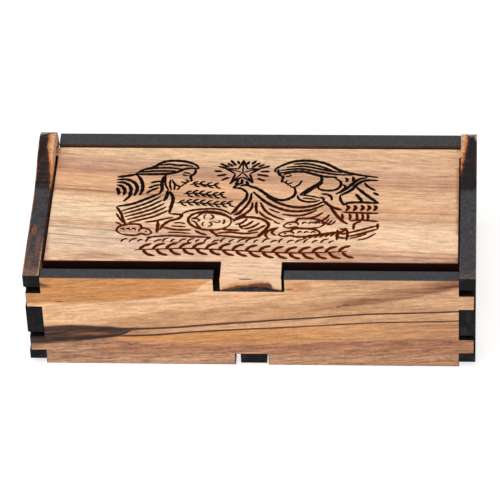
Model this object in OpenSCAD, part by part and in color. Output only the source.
// Small keepsake box of six laser-cut olive-wood boards.
// Four wall boards interlock with fingers at the corners and hold a floor board by its tabs.
// The lid turns on two ears of its own, one in a round hole in each side board.
// Origin: middle of the underside. +X runs along the front, +Y to the back, +Z up.

/* [Box] */
// Outer width, across the two side boards
box_w = 110; // [100:1:130]
// Outer depth, from the front board's face to the back board's face
box_d = 54.5; // [50:0.5:70]
// Height of the front board
wall_h = 28.6; // [28:0.1:34]

/* [Boards] */
// Thickness of each side board
side_t = 4; // [3:0.1:4.5]
// Thickness of the front board
front_t = 3.3; // [3:0.1:3.6]
// Thickness of the back board
back_t = 4.3; // [3:0.05:4.3]
// Thickness of the floor board
floor_t = 3; // [2.5:0.1:3.2]
// Thickness of the lid board
lid_t = 4; // [3.4:0.1:4.2]
// Gap between the back board's left end and the left side board
back_end_gap = 0.5; // [0:0.1:0.8]

/* [Corner fingers] */
// Height of each finger of the front and back boards
panel_finger_h = 4.6; // [4:0.1:5]
// Underside of the lower finger of the front and back boards
lower_finger_z = 4.4; // [4.2:0.1:4.8]
// Underside of the upper finger of the front and back boards
upper_finger_z = 18.9; // [18:0.1:19]
// How far the finger tips stop short of the side boards' outer faces
finger_short = 0.35; // [0:0.05:0.6]
// Open gap that is left above the lower fingers
lower_finger_gap = 1.45; // [0.5:0.05:2]
// Open gap that is left above the upper fingers
upper_finger_gap = 1.9; // [0.5:0.05:2.2]

/* [Side boards] */
// Height of the side boards' lower edge above the table
side_base_z = 1.55; // [0.5:0.05:2.5]
// How far the side boards stand above the front board
side_rise = 0.7; // [0:0.1:1]
// Height of the hump over the hinge, above the straight top edge
hump_rise = 3.7; // [3.3:0.1:4.4]
// Length of the ramp that climbs to the hump
ramp_run = 18.5; // [12:0.5:22]

/* [Floor] */
// Height of the floor board's underside above the table
floor_z = 0.6; // [0.2:0.1:1]
// Width of each tab of the floor board
floor_tab_w = 6.5; // [5:0.1:6.6]
// Width of the slot that each tab sits in
floor_slot_w = 8.1; // [8.1:0.1:10]
// Sideways shift of the front and back tabs in their slots
floor_tab_shift = 0.45; // [0:0.05:0.7]

/* [Lid] */
// Gap between the lid and the left side board
lid_gap_left = 0.6; // [0.3:0.05:0.8]
// Gap between the lid and the right side board
lid_gap_right = 0.3; // [0.3:0.05:0.6]
// Gap for a fingertip between the lid and the front board
lid_gap_front = 2.9; // [1:0.1:4]
// Width of the lid's front tab
lid_tab_w = 15; // [10:0.5:15]
// Width of the notch that the tab rests in
lid_notch_w = 17.1; // [16:0.1:22]
// Sideways place of the lid's tab
lid_tab_x = 0.5; // [-0.5:0.1:0.5]

/* [Hinge] */
// Distance from the hinge axis to the back board's inner face
pivot_setback = 2.9; // [2.9:0.05:4]
// Depth of each ear of the lid
ear_d = 3.4; // [2.5:0.1:3.4]
// How far an ear stops short of the side board's outer face
ear_short = 0.3; // [0:0.1:1]
// Running clearance between an ear's corners and its hole
ear_clearance = 0.13; // [0.1:0.01:0.2]

/* [Hidden] */
$fn = 96;

// Faces and edges of the box, in the box's own frame
side_out_x = box_w / 2;
side_in_x = side_out_x - side_t;
front_y = -box_d / 2;
front_in_y = front_y + front_t;
back_y = box_d / 2;
back_in_y = back_y - back_t;
floor_top_z = floor_z + floor_t;
finger_tip_x = side_out_x - finger_short;
lid_z = wall_h - lid_t;
side_top_z = wall_h + side_rise;
hump_top_z = side_top_z + hump_rise;

// Heights that bound the fingers of the front and back boards
lower_finger_top = lower_finger_z + panel_finger_h;
upper_finger_top = upper_finger_z + panel_finger_h;
// Small clearance under each finger of the front and back boards, in its slot
finger_fit = 0.1;

// The hinge axis runs along X through the middle of the lid's thickness
pivot_y = back_in_y - pivot_setback;
pivot_z = lid_z + lid_t / 2;
ear_corner_r = norm([ear_d, lid_t]) / 2;
hole_r = ear_corner_r + ear_clearance;

// The hump is round about the hinge axis, and the ramp ends over that axis
hump_r = hump_top_z - pivot_z;
hump_rear_y = pivot_y + hump_r;
ramp_start_y = pivot_y - ramp_run;
RAMP_STEPS = 12;
// Angle between the points of the hump's quarter circle
HUMP_STEP = 5;
// A cut reaches this far beyond the face that it opens
over = 1;

LIGHT_WOOD = [0.90, 0.71, 0.50];
GOLDEN_WOOD = [0.82, 0.60, 0.37];
EDGE_WOOD = [0.34, 0.23, 0.17];

// Stands an outline drawn in X and Z upright, with its front face at y
module upright_xz(y, thickness) {
    translate([0, y + thickness, 0])
        rotate([90, 0, 0])
            linear_extrude(height = thickness) children();
}

// Stands an outline drawn in Y and Z upright, with its left face at x
module upright_yz(x, thickness) {
    translate([x, 0, 0])
        rotate([90, 0, 90])
            linear_extrude(height = thickness) children();
}

// A rectangle given by its two corners
module span(low, high) {
    translate(low) square(high - low);
}

// Outline of a front or back board: a plain centre with two fingers at each end
module wall_outline(left_x, right_x, top_z) {
    difference() {
        union() {
            span([left_x, 0], [right_x, top_z]);
            span([-finger_tip_x, lower_finger_z], [finger_tip_x, lower_finger_top]);
            span([-finger_tip_x, upper_finger_z], [finger_tip_x, upper_finger_top]);
        }
        span([-floor_slot_w / 2, -over], [floor_slot_w / 2, floor_top_z]);
    }
}

module front_panel() {
    color(GOLDEN_WOOD)
        upright_xz(front_y, front_t)
            difference() {
                wall_outline(-side_in_x, side_in_x, wall_h);
                span([-lid_notch_w / 2, lid_z], [lid_notch_w / 2, wall_h + over]);
            }
}

module back_panel() {
    color(GOLDEN_WOOD)
        upright_xz(back_in_y, back_t)
            wall_outline(back_end_gap - side_in_x, side_in_x, wall_h);
}

// Height of the ramp at a fraction of its run: an even rise with soft ends
function ramp_z(fraction) = side_top_z + hump_rise * (1 - cos(180 * fraction)) / 2;

// Outline of a side board before its corner slots: the straight top edge, the ramp and the
// hump's quarter circle, which stops short of the back plane; the step out to that plane
// lies inside the upper corner slot
module side_blank() {
    ramp = [for (step = [0:RAMP_STEPS])
        [ramp_start_y + ramp_run * step / RAMP_STEPS, ramp_z(step / RAMP_STEPS)]];
    hump = [for (angle = [HUMP_STEP:HUMP_STEP:90])
        [pivot_y + hump_r * sin(angle), pivot_z + hump_r * cos(angle)]];
    polygon(concat(
        [[front_y, side_base_z], [front_y, side_top_z]],
        ramp,
        hump,
        [[hump_rear_y, upper_finger_top], [back_y, upper_finger_top], [back_y, side_base_z]]));
}

// The two slots in one upright edge, which take the fingers of a front or back board
module corner_slots(low_y, high_y) {
    span([low_y, lower_finger_z - finger_fit], [high_y, lower_finger_top + lower_finger_gap]);
    span([low_y, upper_finger_z - finger_fit], [high_y, upper_finger_top + upper_finger_gap]);
}

module side_outline() {
    difference() {
        side_blank();
        corner_slots(front_y - over, front_in_y);
        corner_slots(back_in_y, back_y + over);
        span([-floor_slot_w / 2, side_base_z - over], [floor_slot_w / 2, floor_top_z]);
        translate([pivot_y, pivot_z]) circle(r = hole_r);
    }
}

module left_side() {
    color(EDGE_WOOD)
        upright_yz(-side_out_x, side_t) side_outline();
}

module right_side() {
    color(EDGE_WOOD)
        upright_yz(side_in_x, side_t) side_outline();
}

// The floor lies inside the walls, with one tab through each of them
module floor_panel() {
    tab_low_x = floor_tab_shift - floor_tab_w / 2;
    color(LIGHT_WOOD)
        translate([0, 0, floor_z])
            linear_extrude(height = floor_t) {
                span([-side_in_x, front_in_y], [side_in_x, back_in_y]);
                span([tab_low_x, front_y], [tab_low_x + floor_tab_w, back_y]);
                span([-side_out_x, -floor_tab_w / 2], [side_out_x, floor_tab_w / 2]);
            }
}

// The lid rests on its front tab and turns on the ears at its rear corners
module lid() {
    front_edge_y = front_in_y + lid_gap_front;
    rear_edge_y = pivot_y + ear_d / 2;
    ear_tip_x = side_out_x - ear_short;
    color(LIGHT_WOOD)
        translate([0, 0, lid_z])
            linear_extrude(height = lid_t) {
                span([lid_gap_left - side_in_x, front_edge_y],
                     [side_in_x - lid_gap_right, rear_edge_y]);
                span([lid_tab_x - lid_tab_w / 2, front_y],
                     [lid_tab_x + lid_tab_w / 2, front_edge_y + over]);
                span([-ear_tip_x, pivot_y - ear_d / 2], [ear_tip_x, rear_edge_y]);
            }
}

front_panel();
back_panel();
left_side();
right_side();
floor_panel();
lid();
